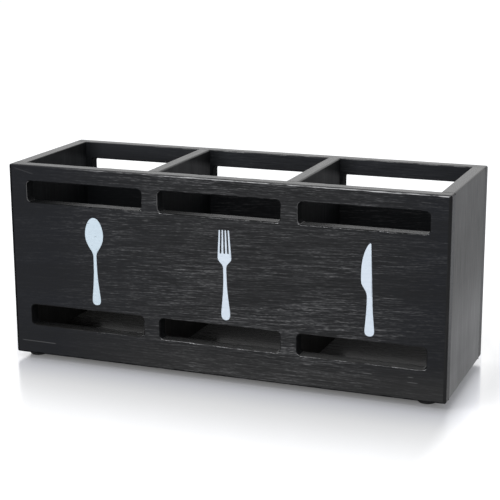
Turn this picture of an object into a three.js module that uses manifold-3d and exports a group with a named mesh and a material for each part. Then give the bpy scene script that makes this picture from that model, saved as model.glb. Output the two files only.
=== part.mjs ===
// Flatware caddy: an open wooden box with three compartments for spoons, forks and knives.
// Millimetres, +Z up. X runs along the length and the front looks towards -Y.
// The origin is the middle of the object's bottom, on the surface that the four feet stand on.

import * as THREE from "three";
import { mergeVertices } from "three/addons/utils/BufferGeometryUtils.js";
import Module from "manifold-3d";

const wasm = await Module();
wasm.setup();

// Case
const caseLength = 317.5;
const caseDepth = 108;
const wallHeight = 138.5;
const boardThickness = 9.25;
const floorThickness = 6;
const arrisRadius = 1.25;
const innerRimArris = 0.6;

// Slots in the front and back boards, three in the upper row and three in the lower row
const slotHeight = 14.9;
const slotCornerRadius = 3;
const slotArrisRadius = 0.5;
const endStile = 13.7;
const mullionWidth = 12.15;
const topRail = 11.4;
const bottomRail = 22.1;

// The back board's upper slots, left to right, sit this much lower than the front board's
const backSlotDrops = [1, 0.7, 0.2];

// Dividers: both stand a little left of the middle of the strip between two slots
const dividerShift = -0.85;

// Floor rabbets
const rabbetDepth = 4.5;
const floorClearance = 0.3;

// Dowels
const dowelDiameter = 5;
const dowelLength = 20;
const dowelChamfer = 0.6;
const dowelClearance = 0.3;
const dowelFaceDepth = 5.5;
const dowelDepthClearance = 0.4;
const cornerDowelHeightShares = [0.2, 0.5, 0.8];
const dividerDowelHeightShares = [0.3, 0.76];

// Feet
const footDiameter = 13.4;
const footBottomDiameter = 9;
const footHeight = 4;
const footEdgeHeight = 1.8;
const footLeftInset = 11;
const footRightInset = 15.4;
const footFrontInset = 12.5;

// Printed silhouettes: each stands in front of its own compartment, shifted right of the compartment's
// middle, with its foot this far above the bottom of the walls. The lean is in degrees, to the left at the
// top.
const printThickness = 0.2;
const handleCurveShares = [0.15, 0.5];

const spoon = {
  shift: 8.3,
  foot: 41.6,
  lean: 0.7,
  length: 62.8,
  bowlWidth: 13.9,
  bowlTop: 12.8,
  bowlLength: 27,
  neckWidth: 2.25,
  neckHeight: 30,
  handleWidth: 6.3,
  handleEnd: 3.4,
};

const fork = {
  shift: 5.4,
  foot: 41,
  lean: 0.9,
  length: 62.8,
  tineCount: 4,
  tineGap: 1.2,
  tipWidth: 7.5,
  tipRound: 0.45,
  rootWidth: 9.5,
  headWidth: 9.9,
  tineLength: 15.8,
  shoulderDrop: 3.3,
  headLength: 26.2,
  neckWidth: 2.25,
  neckHeight: 31,
  handleWidth: 6.45,
  handleEnd: 4,
};

const knife = {
  shift: 5.75,
  foot: 40.7,
  lean: 0.3,
  length: 62.7,
  bladeWidth: 7.75,
  backTaper: 1.1,
  tipRound: 0.9,
  bellyHeight: 42,
  heelHeight: 37.5,
  heelCurve: 4.6,
  neckWidth: 3.65,
  neckHeight: 27,
  handleWidth: 6.5,
  handleEnd: 3.4,
};

// Drawing fineness, and how far a cutter reaches past the face that it cuts
const arrisSegments = 2;
const cornerSegments = 2;
const curveSegments = 6;
const tineSegments = 2;
const dowelSides = 12;
const footSides = 24;
const overrun = 1;

// Planes and places that the pieces share
const halfLength = caseLength / 2;
const frontFace = (printThickness - caseDepth) / 2;
const backFace = (printThickness + caseDepth) / 2;
const frontInner = frontFace + boardThickness;
const backInner = backFace - boardThickness;
const endInner = halfLength - boardThickness;
const wallBottom = footHeight;
const rim = wallBottom + wallHeight;
const floorTop = wallBottom + floorThickness;

const slotWidth = (caseLength - 2 * endStile - 2 * mullionWidth) / 3;
const slotPitch = slotWidth + mullionWidth;
const slotCentres = [-slotPitch, 0, slotPitch];
const dividerCentres = [dividerShift - slotPitch / 2, dividerShift + slotPitch / 2];
const [leftDividerCentre, rightDividerCentre] = dividerCentres;
const lowerSlotBottom = wallBottom + bottomRail;
const lowerSlotTop = lowerSlotBottom + slotHeight;
const upperSlotTop = rim - topRail;
const upperSlotBottom = upperSlotTop - slotHeight;

// Turns a closed mesh into a solid that can be cut.
function toSolid(geometry) {
  const plain = geometry.clone();
  plain.deleteAttribute("normal");
  plain.deleteAttribute("uv");
  const merged = mergeVertices(plain);
  return new wasm.Manifold(
    new wasm.Mesh({
      numProp: 3,
      vertProperties: merged.attributes.position.array,
      triVerts: new Uint32Array(merged.index.array),
    }),
  );
}

// Turns a solid back into a mesh with flat shading.
function toGeometry(solid) {
  const cut = solid.getMesh();
  const geometry = new THREE.BufferGeometry();
  geometry.setAttribute("position", new THREE.BufferAttribute(cut.vertProperties, 3));
  geometry.setIndex(new THREE.BufferAttribute(cut.triVerts, 1));
  const flat = geometry.toNonIndexed();
  flat.computeVertexNormals();
  return flat;
}

// Lays an extrusion down, so that what was drawn upright stands upright and the thickness runs along Y.
// Its first end lands on the plane y = far and its last end on y = near, exactly.
function layAlongY(geometry, near, far) {
  geometry.computeBoundingBox();
  const { min, max } = geometry.boundingBox;
  const position = geometry.attributes.position;
  for (let i = 0; i < position.count; i++) {
    const share = (position.getZ(i) - min.z) / (max.z - min.z);
    position.setXYZ(i, position.getX(i), far * (1 - share) + near * share, position.getY(i));
  }
  geometry.computeVertexNormals();
  return geometry;
}

// Lays an extrusion along X, from the plane x = left to x = right: what was drawn across runs along Y.
function layAlongX(geometry, left, right) {
  const position = geometry.attributes.position;
  for (let i = 0; i < position.count; i++) {
    const share = position.getZ(i);
    position.setXYZ(i, left * (1 - share) + right * share, position.getX(i), position.getY(i));
  }
  geometry.computeVertexNormals();
  return geometry;
}

// Stretches an extrusion from the plane z = bottom to z = top.
function standAlongZ(geometry, bottom, top) {
  const position = geometry.attributes.position;
  for (let i = 0; i < position.count; i++) {
    const share = position.getZ(i);
    position.setZ(i, bottom * (1 - share) + top * share);
  }
  geometry.computeVertexNormals();
  return geometry;
}

function extrude(shape, segments) {
  return new THREE.ExtrudeGeometry(shape, { depth: 1, bevelEnabled: false, curveSegments: segments });
}

function boxBetween(low, high) {
  const geometry = new THREE.BoxGeometry(1, 1, 1);
  const position = geometry.attributes.position;
  for (let i = 0; i < position.count; i++) {
    position.setXYZ(
      i,
      position.getX(i) < 0 ? low.x : high.x,
      position.getY(i) < 0 ? low.y : high.y,
      position.getZ(i) < 0 ? low.z : high.z,
    );
  }
  return geometry;
}

// The section of a wall board, from its outer face to its inner face. Both rim arrises and the outer
// bottom arris are eased, the inner rim arris least. The inner bottom edge has a rabbet for the floor
// board, or stays square.
function wallSection(outer, inner, hasRabbet) {
  const inward = Math.sign(inner - outer);
  const eased = inward * arrisRadius;
  const easedInside = inward * innerRimArris;
  const rabbetWall = inner - inward * rabbetDepth;
  const shape = new THREE.Shape();
  shape.moveTo(outer, wallBottom + arrisRadius);
  shape.lineTo(outer, rim - arrisRadius);
  shape.quadraticCurveTo(outer, rim, outer + eased, rim);
  shape.lineTo(inner - easedInside, rim);
  shape.quadraticCurveTo(inner, rim, inner, rim - innerRimArris);
  if (hasRabbet) {
    shape.lineTo(inner, floorTop);
    shape.lineTo(rabbetWall, floorTop);
    shape.lineTo(rabbetWall, wallBottom);
  } else {
    shape.lineTo(inner, wallBottom);
  }
  shape.lineTo(outer + eased, wallBottom);
  shape.quadraticCurveTo(outer, wallBottom, outer, wallBottom + arrisRadius);
  return shape;
}

// The section of a divider, which stands on the floor board with square bottom edges.
function dividerSection(left, right) {
  const shape = new THREE.Shape();
  shape.moveTo(left, floorTop);
  shape.lineTo(left, rim - arrisRadius);
  shape.quadraticCurveTo(left, rim, left + arrisRadius, rim);
  shape.lineTo(right - arrisRadius, rim);
  shape.quadraticCurveTo(right, rim, right, rim - arrisRadius);
  shape.lineTo(right, floorTop);
  return shape;
}

// The plan of a long board: its two outer upright arrises are eased, and the inner ones, which close the
// corner joints, stay square.
function longBoardPlan(outer, inner) {
  const inward = Math.sign(inner - outer);
  const eased = inward * arrisRadius;
  const shape = new THREE.Shape();
  shape.moveTo(-halfLength, inner);
  shape.lineTo(-halfLength, outer + eased);
  shape.quadraticCurveTo(-halfLength, outer, arrisRadius - halfLength, outer);
  shape.lineTo(halfLength - arrisRadius, outer);
  shape.quadraticCurveTo(halfLength, outer, halfLength, outer + eased);
  shape.lineTo(halfLength, inner);
  return shape;
}

function roundedRectangle(left, bottom, right, top, radius) {
  const shape = new THREE.Shape();
  shape.absarc(right - radius, bottom + radius, radius, -Math.PI / 2, 0);
  shape.absarc(right - radius, top - radius, radius, 0, Math.PI / 2);
  shape.absarc(left + radius, top - radius, radius, Math.PI / 2, Math.PI);
  shape.absarc(left + radius, bottom + radius, radius, Math.PI, 1.5 * Math.PI);
  return shape;
}

// A cutter for one slot. It widens towards both faces of the board, which leaves eased arrises.
function slotCutter(centre, bottom, near, far) {
  const outline = roundedRectangle(
    centre - slotWidth / 2,
    bottom,
    centre + slotWidth / 2,
    bottom + slotHeight,
    slotCornerRadius,
  );
  const geometry = new THREE.ExtrudeGeometry(outline, {
    depth: boardThickness - 2 * slotArrisRadius,
    bevelThickness: slotArrisRadius,
    bevelSize: -slotArrisRadius,
    bevelOffset: slotArrisRadius,
    bevelSegments: arrisSegments,
    curveSegments: cornerSegments,
  });
  return toSolid(layAlongY(geometry, near, far));
}

// Dowels: each crosses a joint along Y, shallow in the long board's face and deep in the end grain of the
// board that meets it.
const dowelRadius = dowelDiameter / 2;
const holeRadius = dowelRadius + dowelClearance;
const holeLength = dowelLength + 2 * dowelDepthClearance;
const dividerField = upperSlotBottom - lowerSlotTop;
const sides = [
  { name: "front", joint: frontInner, inward: 1 },
  { name: "back", joint: backInner, inward: -1 },
];
const joints = [
  { name: "left", x: boardThickness / 2 - halfLength, board: "left_end_panel" },
  { name: "right", x: halfLength - boardThickness / 2, board: "right_end_panel" },
  { name: "divider_left", x: leftDividerCentre, board: "left_divider" },
  { name: "divider_right", x: rightDividerCentre, board: "right_divider" },
];
const dowels = [];
for (const side of sides) {
  for (const joint of joints) {
    const heights = joint.board.endsWith("divider")
      ? dividerDowelHeightShares.map((share) => lowerSlotTop + share * dividerField)
      : cornerDowelHeightShares.map((share) => wallBottom + share * wallHeight);
    heights.forEach((z, i) => {
      const middle = holeLength / 2 - dowelFaceDepth;
      dowels.push({
        name: `dowel_${side.name}_${joint.name}_${i + 1}`,
        boards: [`${side.name}_panel`, joint.board],
        place: new THREE.Vector3(joint.x, side.joint + side.inward * middle, z),
      });
    });
  }
}

function dowelGeometry() {
  const half = dowelLength / 2;
  const profile = [
    new THREE.Vector2(0, -half),
    new THREE.Vector2(dowelRadius - dowelChamfer, -half),
    new THREE.Vector2(dowelRadius, dowelChamfer - half),
    new THREE.Vector2(dowelRadius, half - dowelChamfer),
    new THREE.Vector2(dowelRadius - dowelChamfer, half),
    new THREE.Vector2(0, half),
  ];
  return new THREE.LatheGeometry(profile, dowelSides);
}

// Bores every dowel hole that reaches the named board.
function boreDowelHoles(solid, board) {
  let bored = solid;
  for (const dowel of dowels.filter((each) => each.boards.includes(board))) {
    const hole = new THREE.CylinderGeometry(holeRadius, holeRadius, holeLength, dowelSides);
    hole.translate(dowel.place.x, dowel.place.y, dowel.place.z);
    bored = bored.subtract(toSolid(hole));
  }
  return toGeometry(bored);
}

// A long board, front or back: full length, three slots above and three below, and a stopped rabbet for
// the floor board. The drops lower its upper slots one by one.
function longBoard(name, outer, inner, drops) {
  const near = Math.min(outer, inner);
  const far = Math.max(outer, inner);
  const inward = Math.sign(inner - outer);
  const section = extrude(wallSection(outer, inner, false), arrisSegments);
  const plan = extrude(longBoardPlan(outer, inner), arrisSegments);
  const rails = toSolid(layAlongX(section, -halfLength, halfLength));
  let board = rails.intersect(toSolid(standAlongZ(plan, wallBottom, rim)));
  slotCentres.forEach((centre, i) => {
    for (const bottom of [lowerSlotBottom, upperSlotBottom - drops[i]]) {
      board = board.subtract(slotCutter(centre, bottom, near, far));
    }
  });
  const rabbetWall = inner - inward * rabbetDepth;
  const pastInner = inner + inward * overrun;
  const rabbet = boxBetween(
    new THREE.Vector3(-endInner - rabbetDepth, Math.min(rabbetWall, pastInner), wallBottom - overrun),
    new THREE.Vector3(endInner + rabbetDepth, Math.max(rabbetWall, pastInner), floorTop),
  );
  return boreDowelHoles(board.subtract(toSolid(rabbet)), name);
}

function endBoard(name, outer, inner) {
  const geometry = layAlongY(extrude(wallSection(outer, inner, true), arrisSegments), frontInner, backInner);
  return boreDowelHoles(toSolid(geometry), name);
}

function divider(name, centre) {
  const half = boardThickness / 2;
  const section = dividerSection(centre - half, centre + half);
  const geometry = layAlongY(extrude(section, arrisSegments), frontInner, backInner);
  return boreDowelHoles(toSolid(geometry), name);
}

function floorBoard() {
  const reach = rabbetDepth - floorClearance;
  return boxBetween(
    new THREE.Vector3(-endInner - reach, frontInner - reach, wallBottom),
    new THREE.Vector3(endInner + reach, backInner + reach, floorTop),
  );
}

// A bumper: a flat round bottom that swells into an upright edge under the case.
function footGeometry() {
  const outline = new THREE.Path();
  outline.moveTo(0, 0);
  outline.lineTo(footBottomDiameter / 2, 0);
  outline.quadraticCurveTo(footDiameter / 2, 0, footDiameter / 2, footHeight - footEdgeHeight);
  outline.lineTo(footDiameter / 2, footHeight);
  outline.lineTo(0, footHeight);
  const geometry = new THREE.LatheGeometry(outline.getPoints(cornerSegments), footSides);
  const position = geometry.attributes.position;
  for (let i = 0; i < position.count; i++) {
    position.setXYZ(i, position.getX(i), -position.getZ(i), position.getY(i));
  }
  geometry.computeVertexNormals();
  return geometry;
}

// The right half of a handle, drawn upwards from its rounded end to its neck.
function handleSide(path, { handleWidth, handleEnd, neckWidth, neckHeight }) {
  const half = handleWidth / 2;
  const taper = neckHeight - handleEnd;
  const [endShare, neckShare] = handleCurveShares;
  path.moveTo(0, 0);
  path.bezierCurveTo(half / 2, 0, half, handleEnd / 4, half, handleEnd);
  path.bezierCurveTo(
    half,
    handleEnd + endShare * taper,
    neckWidth / 2,
    neckHeight - neckShare * taper,
    neckWidth / 2,
    neckHeight,
  );
}

// The mirror image of a drawn right half, from its top back down to its foot.
function leftSide(points) {
  return points
    .filter((point) => point.x > 0)
    .map((point) => new THREE.Vector2(-point.x, point.y))
    .reverse();
}

function spoonShape() {
  const { length, bowlWidth, bowlTop, bowlLength, neckWidth } = spoon;
  const widest = length - bowlTop;
  const start = length - bowlLength;
  const reach = (widest - start) / 2;
  const path = new THREE.Path();
  handleSide(path, spoon);
  path.lineTo(neckWidth / 2, start);
  path.bezierCurveTo(neckWidth / 2, start + reach / 2, bowlWidth / 2, widest - reach, bowlWidth / 2, widest);
  path.absellipse(0, widest, bowlWidth / 2, bowlTop, 0, Math.PI / 2);
  const right = path.getPoints(curveSegments);
  return new THREE.Shape([...right, ...leftSide(right)]);
}

// The tines are drawn one by one from the right, each with a softly rounded tip, and each gap has a round
// root.
function forkShape() {
  const { length, headWidth, headLength, shoulderDrop, neckWidth } = fork;
  const { tineLength, tipWidth, rootWidth, tipRound, tineGap, tineCount } = fork;
  const headBottom = length - headLength;
  const root = length - tineLength;
  const widest = root - shoulderDrop;
  const bend = (widest + headBottom) / 2;
  const path = new THREE.Path();
  handleSide(path, fork);
  path.lineTo(neckWidth / 2, headBottom);
  path.bezierCurveTo(neckWidth / 2, bend, headWidth / 2, bend, headWidth / 2, widest);
  const right = path.getPoints(curveSegments);
  const outline = new THREE.Path(right);
  const allGaps = (tineCount - 1) * tineGap;
  const tineTip = (tipWidth - allGaps) / tineCount;
  const tineRoot = (rootWidth - allGaps) / tineCount;
  for (let i = tineCount - 1; i >= 0; i--) {
    const tipMiddle = i * (tineTip + tineGap) + tineTip / 2 - tipWidth / 2;
    const gapMiddle = i * (tineRoot + tineGap) - tineGap / 2 - rootWidth / 2;
    outline.absellipse(tipMiddle, length - tipRound, tineTip / 2, tipRound, 0, Math.PI);
    if (i > 0) {
      outline.absarc(gapMiddle, root, tineGap / 2, 0, -Math.PI, true);
    }
  }
  return new THREE.Shape([...outline.getPoints(tineSegments), ...leftSide(right)]);
}

// The knife's back runs up nearly straight on the right, and its belly bulges to the left above the neck.
function knifeShape() {
  const { length, bladeWidth, backTaper, tipRound, bellyHeight, heelHeight, heelCurve } = knife;
  const { neckWidth, neckHeight } = knife;
  const neck = neckWidth / 2;
  const tip = neck - backTaper;
  const belly = neck - bladeWidth;
  const rise = length - bellyHeight;
  const path = new THREE.Path();
  handleSide(path, knife);
  const right = path.getPoints(curveSegments);
  const outline = new THREE.Path(right);
  outline.lineTo(tip, length - tipRound);
  outline.quadraticCurveTo(tip, length, tip - tipRound, length);
  outline.bezierCurveTo(belly / 2, length - rise / 8, belly, bellyHeight + rise / 2, belly, bellyHeight);
  outline.lineTo(belly, heelHeight);
  outline.bezierCurveTo(belly, heelHeight - heelCurve, -neck, neckHeight + heelCurve, -neck, neckHeight);
  return new THREE.Shape([...outline.getPoints(curveSegments), ...leftSide(right).slice(1)]);
}

// A print: its silhouette, set on the front board's face.
function printGeometry(shape, piece, centre) {
  const geometry = extrude(shape, curveSegments);
  geometry.rotateZ(THREE.MathUtils.degToRad(piece.lean));
  geometry.translate(centre + piece.shift, wallBottom + piece.foot, 0);
  return layAlongY(geometry, frontFace - printThickness, frontFace);
}

const finishes = {
  charcoalPaint: { color: 0x2e3035, roughness: 0.55 },
  bareBeech: { color: 0xcaa878, roughness: 0.7 },
  blackRubber: { color: 0x161616, roughness: 0.8 },
  paleInk: { color: 0xe4e8ec, roughness: 0.6 },
};

const caddy = new THREE.Group();

function addPiece(name, geometry, finish) {
  const material = new THREE.MeshStandardMaterial({ ...finishes[finish], metalness: 0 });
  const mesh = new THREE.Mesh(geometry, material);
  mesh.name = name;
  caddy.add(mesh);
  return mesh;
}

addPiece("front_panel", longBoard("front_panel", frontFace, frontInner, [0, 0, 0]), "charcoalPaint");
addPiece("back_panel", longBoard("back_panel", backFace, backInner, backSlotDrops), "charcoalPaint");
addPiece("left_end_panel", endBoard("left_end_panel", -halfLength, -endInner), "charcoalPaint");
addPiece("right_end_panel", endBoard("right_end_panel", halfLength, endInner), "charcoalPaint");
addPiece("left_divider", divider("left_divider", leftDividerCentre), "charcoalPaint");
addPiece("right_divider", divider("right_divider", rightDividerCentre), "charcoalPaint");
addPiece("floor_board", floorBoard(), "charcoalPaint");

for (const dowel of dowels) {
  addPiece(dowel.name, dowelGeometry(), "bareBeech").position.copy(dowel.place);
}

const footRows = [
  { name: "front", y: frontFace + footFrontInset },
  { name: "back", y: backFace - footFrontInset },
];
const footColumns = [
  { name: "left", x: footLeftInset - halfLength },
  { name: "right", x: halfLength - footRightInset },
];
for (const row of footRows) {
  for (const column of footColumns) {
    const foot = addPiece(`foot_${row.name}_${column.name}`, footGeometry(), "blackRubber");
    foot.position.set(column.x, row.y, 0);
  }
}

const [leftCompartment, middleCompartment, rightCompartment] = slotCentres;
addPiece("spoon_print", printGeometry(spoonShape(), spoon, leftCompartment), "paleInk");
addPiece("fork_print", printGeometry(forkShape(), fork, middleCompartment), "paleInk");
addPiece("knife_print", printGeometry(knifeShape(), knife, rightCompartment), "paleInk");

export default caddy;
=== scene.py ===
# %% [markdown]
# A flatware caddy: an open box of brushed, dark painted boards with three compartments for spoons, forks
# and knives. The joiner's drawing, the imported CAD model, is already there as a fixed frame, so this lesson
# only dresses it. Every board is planed a hair thinner than its solid and brushed, every slot is routed
# with a soft edge, and each paint, ink and rubber gets its own finish.

# %% Load the drawing
import math
import bpy
import numpy as np
from mathutils import Matrix, Vector


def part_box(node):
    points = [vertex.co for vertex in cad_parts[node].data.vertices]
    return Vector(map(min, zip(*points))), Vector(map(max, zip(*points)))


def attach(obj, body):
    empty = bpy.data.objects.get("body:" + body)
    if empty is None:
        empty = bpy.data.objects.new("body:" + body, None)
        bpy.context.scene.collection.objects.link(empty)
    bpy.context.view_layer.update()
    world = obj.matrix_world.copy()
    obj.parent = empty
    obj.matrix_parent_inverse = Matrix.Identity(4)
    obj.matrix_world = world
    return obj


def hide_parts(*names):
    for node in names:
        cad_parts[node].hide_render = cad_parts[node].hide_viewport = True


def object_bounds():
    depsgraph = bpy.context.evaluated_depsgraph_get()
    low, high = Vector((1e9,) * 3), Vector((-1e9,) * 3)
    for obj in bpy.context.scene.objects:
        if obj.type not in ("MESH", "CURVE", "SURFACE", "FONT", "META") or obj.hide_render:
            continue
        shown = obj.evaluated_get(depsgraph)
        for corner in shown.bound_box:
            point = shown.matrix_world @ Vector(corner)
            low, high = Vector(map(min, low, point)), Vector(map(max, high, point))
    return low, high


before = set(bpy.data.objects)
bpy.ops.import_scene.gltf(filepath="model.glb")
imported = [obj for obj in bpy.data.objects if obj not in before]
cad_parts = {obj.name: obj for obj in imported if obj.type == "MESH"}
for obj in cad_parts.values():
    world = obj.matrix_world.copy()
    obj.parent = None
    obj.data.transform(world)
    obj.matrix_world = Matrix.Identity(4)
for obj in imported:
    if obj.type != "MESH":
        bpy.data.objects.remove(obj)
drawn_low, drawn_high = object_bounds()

MM = 0.001

# %% [markdown]
# The picture was taken with a long lens, slightly from the right and from above. A camera could be aimed by
# eye, but here its place, its turn and its lens were worked out from the corners of the box, so every edge
# falls where it does in the picture. A tiny roll is kept, because the real camera wasn't quite level.

# %% Set up the camera
camera_place = Vector((0.35033, -0.89627, 0.32510))
camera_yaw = 21.227
camera_pitch = 14.241
camera_roll = -0.260
focal_pixels = 1400.1
frame_pixels = 500
scene = bpy.context.scene


def placed(name, data):
    """A new object with that data, at the origin of the scene."""
    made = bpy.data.objects.new(name, data)
    scene.collection.objects.link(made)
    return made


camera_data = bpy.data.cameras.new("product_camera")
camera_data.sensor_fit = "HORIZONTAL"
camera_data.sensor_width = 36.0
camera_data.lens = focal_pixels * camera_data.sensor_width / frame_pixels
camera_data.clip_start = 0.05
camera_data.clip_end = 60.0
camera = placed("product_camera", camera_data)
turn = Matrix.Rotation(math.radians(camera_yaw), 4, "Z")
tilt = Matrix.Rotation(math.radians(90 - camera_pitch), 4, "X")
roll = Matrix.Rotation(math.radians(camera_roll), 4, "Z")
camera.matrix_world = Matrix.Translation(camera_place) @ turn @ tilt @ roll
scene.camera = camera


def pixel_of(point):
    """Where a point of the box falls in the square picture, in pixels from its top left."""
    seen = camera.matrix_world.inverted() @ Vector(point)
    across = frame_pixels / 2 + focal_pixels * seen.x / -seen.z
    down = frame_pixels / 2 - focal_pixels * seen.y / -seen.z
    return round(across, 1), round(down, 1)


half_length = drawn_high.x
front_board_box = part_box("front_panel")
front_face = front_board_box[0].y
back_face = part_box("back_panel")[1].y
rim_height = front_board_box[1].z
wall_bottom = front_board_box[0].z
print("top front right corner at pixel", pixel_of((half_length, front_face, rim_height)))
print("bottom front left corner at pixel", pixel_of((-half_length, front_face, wall_bottom)))

# %% [markdown]
# The world, the floor, the finishes and the geometry are all networks of nodes. A few short helpers write
# the steps that come back in them: a node with its links, a sum, a product, a change of range, and a colour
# that is read off a table. A socket knows its own tree, so most helpers need no other hint.

# %% Helpers for node trees


def is_socket(value):
    return isinstance(value, bpy.types.NodeSocket)


def add(beside, kind, inputs=(), output=0, **settings):
    """Adds a node to a tree, or to the tree of a socket, and returns one of its outputs. inputs says what
    goes into its sockets, by name or number: a socket, a list of sockets, or a constant. A colour is given
    as three numbers."""
    tree = beside.id_data
    node = tree.nodes.new(kind)
    for name, setting in settings.items():
        setattr(node, name, setting)
    for name, given in dict(inputs).items():
        target = node.inputs[name]
        for value in given if isinstance(given, list) else [given]:
            if is_socket(value):
                tree.links.new(value, target)
            else:
                target.default_value = (*value, 1.0) if target.type == "RGBA" else value
    return node.outputs[output] if node.outputs else None


def emptied(owner):
    """A new world or material, and its node tree without the nodes that it starts with."""
    owner.use_nodes = True
    owner.node_tree.nodes.clear()
    return owner, owner.node_tree


def reckon(operation, first, second=0.0):
    """One sum on two values, each a socket or a number."""
    beside = first if is_socket(first) else second
    return add(beside, "ShaderNodeMath", {0: first, 1: second}, operation=operation)


def product(*factors):
    result = factors[0]
    for factor in factors[1:]:
        result = reckon("MULTIPLY", result, factor)
    return result


def ranged(value, low, high, to_low=0.0, to_high=1.0):
    """Stretches the span from low to high over the span from to_low to to_high."""
    ends = {"From Min": low, "From Max": high, "To Min": to_low, "To Max": to_high}
    return add(value, "ShaderNodeMapRange", {"Value": value, **ends}, "Result")


def parts_of(tree, output="Object"):
    """X, Y and Z of Texture Coordinate's Object or Normal output."""
    where = add(tree, "ShaderNodeTexCoord", output=output)
    return add(tree, "ShaderNodeSeparateXYZ", {0: where}).node.outputs


def graded(value, table):
    """A colour that follows a length. The table gives colours for lengths in millimetres, smallest first."""
    shortest, longest = table[0][0], table[-1][0]
    colour = add(value, "ShaderNodeValToRGB", {0: ranged(value, shortest * MM, longest * MM)})
    marks = colour.node.color_ramp.elements
    while len(marks) < len(table):
        marks.new(0.5)
    for mark, (length, _) in zip(marks, table):
        mark.position = (length - shortest) / (longest - shortest)
    for mark, (_, tone) in zip(marks, table):
        mark.color = (*tone, 1.0)
    return colour


print("node helpers ready")

# %% [markdown]
# A product studio is a white room: white paper below and behind, and large soft lamps. The dark satin paint
# shows mostly what it mirrors, so the white surroundings matter more than the lamps. Here the world is the
# room, one broad lamp overhead gives the edges their highlights, and the floor is glossy white board.

# %% Build the white studio
scene.view_settings.view_transform = "Standard"


def studio_world(room_light):
    """White to the camera and in mirrors, and a little dimmer and cooler as a light."""
    world, tree = emptied(bpy.data.worlds.new("white_studio"))
    rays = add(tree, "ShaderNodeLightPath").node.outputs
    seen = reckon("MAXIMUM", rays["Is Camera Ray"], rays["Is Glossy Ray"])
    seen = reckon("MAXIMUM", seen, rays["Is Transmission Ray"])
    dim = add(tree, "ShaderNodeBackground", {"Color": (0.97, 0.985, 1.0), "Strength": room_light})
    white = add(tree, "ShaderNodeBackground", {"Color": (1.0, 1.0, 1.0), "Strength": 1.0})
    mix = add(tree, "ShaderNodeMixShader", {0: seen, 1: dim, 2: white})
    add(tree, "ShaderNodeOutputWorld", {"Surface": mix})
    return world


scene.world = studio_world(0.72)
lamp_data = bpy.data.lights.new("overhead_softbox", "AREA")
lamp_data.shape = "RECTANGLE"
lamp_data.size = 1.1
lamp_data.size_y = 0.7
lamp_data.energy = 9.0
lamp = placed("overhead_softbox", lamp_data)
lamp.location = (-0.15, -0.55, 1.25)
box_middle = Vector((0.0, 0.0, rim_height / 2))
lamp.rotation_euler = (box_middle - lamp.location).to_track_quat("-Z", "Y").to_euler()
print("studio lamp:", lamp.name)

# %% [markdown]
# The floor takes the box's soft shadow and a short, blurred mirror image of its front. It could be lit
# until it burns out to white, but that would wash out the box as well. Instead the paper glows faintly, for
# the camera alone: least under the box, where it is nearly dark, and more the farther it lies from the box.
# In the picture the shadow was cut off straight down from the box's outermost corners, so the glow is
# stronger outside two lines on the floor that run from those corners towards the camera.

# %% Lay the floor
reach = 9.0
floor_corners = [(-reach, -reach, 0), (reach, -reach, 0), (reach, reach, 0), (-reach, reach, 0)]
floor_mesh = bpy.data.meshes.new("studio_floor")
floor_mesh.from_pydata(floor_corners, [], [(0, 1, 2, 3)])
floor = placed("studio_floor", floor_mesh)

# Distance from the box in millimetres, the glow there, and how blue it is
floor_glow = [
    (-20, 0.09, 0.0), (-10, 0.125, 0.0), (-6.5, 0.162, 0.1), (-3.5, 0.18, 0.4), (-0.5, 0.143, 1.0),
    (2.5, 0.163, 1.2), (6, 0.204, 1.3), (10, 0.234, 1.3), (14, 0.253, 1.1), (19, 0.265, 0.9),
    (25, 0.281, 0.6), (32, 0.296, 0.3), (40, 0.308, 0.1), (50, 0.306, 0.0), (70, 0.308, 0.0),
    (97, 0.305, 0.0), (130, 0.295, 0.0), (190, 0.33, 0.0), (300, 0.42, 0.0),
]
floor_tones = [
    (distance, (glow * (1 - 0.035 * blue), glow * (1 - 0.02 * blue), glow * (1 + 0.055 * blue)))
    for distance, glow, blue in floor_glow
]
paper_white = 0.86
shine = 0.85
shine_roughness = 0.2
shine_reach = 0.165

# The mirror image and the glow seem so many times farther from the box along X. Past the lines from the
# corners every metre counts more, and there is a leap on the line itself.
mirror_stretch = 7.0
glow_stretch = 0.9
line_gain = 9.0
line_leap = 30.0 * MM


def distance_from_box(tree, stretch):
    """How far a point of the floor is from the edge of the box's footprint, in metres, and below zero under
    the box, stretched along X."""
    past = []
    squares = []
    spans = ((half_length, stretch), (-front_face, 1.0))
    for part, (half, gain) in zip(parts_of(tree), spans):
        beyond = reckon("SUBTRACT", reckon("ABSOLUTE", part), half)
        past.append(product(beyond, gain))
        outside = reckon("MAXIMUM", past[-1], 0.0)
        squares.append(product(outside, outside))
    under = reckon("MINIMUM", reckon("MAXIMUM", *past), 0.0)
    return reckon("ADD", reckon("SQRT", reckon("ADD", *squares)), under)


def past_corner_lines(tree):
    """How far a point of the floor lies outside the two lines from the corners towards the camera."""
    across, inwards, _ = parts_of(tree)
    farthest = 0.0
    for corner, side in ((Vector((-half_length, front_face)), -1), (Vector((half_length, back_face)), 1)):
        line = (camera_place.xy - corner).normalized()
        outward = Vector((line.y, -line.x))
        outward *= math.copysign(1, side * outward.x)
        along = reckon("ADD", product(across, outward.x), product(inwards, outward.y))
        past = reckon("SUBTRACT", along, outward.dot(corner))
        farthest = reckon("MAXIMUM", past, farthest)
    return farthest


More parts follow.
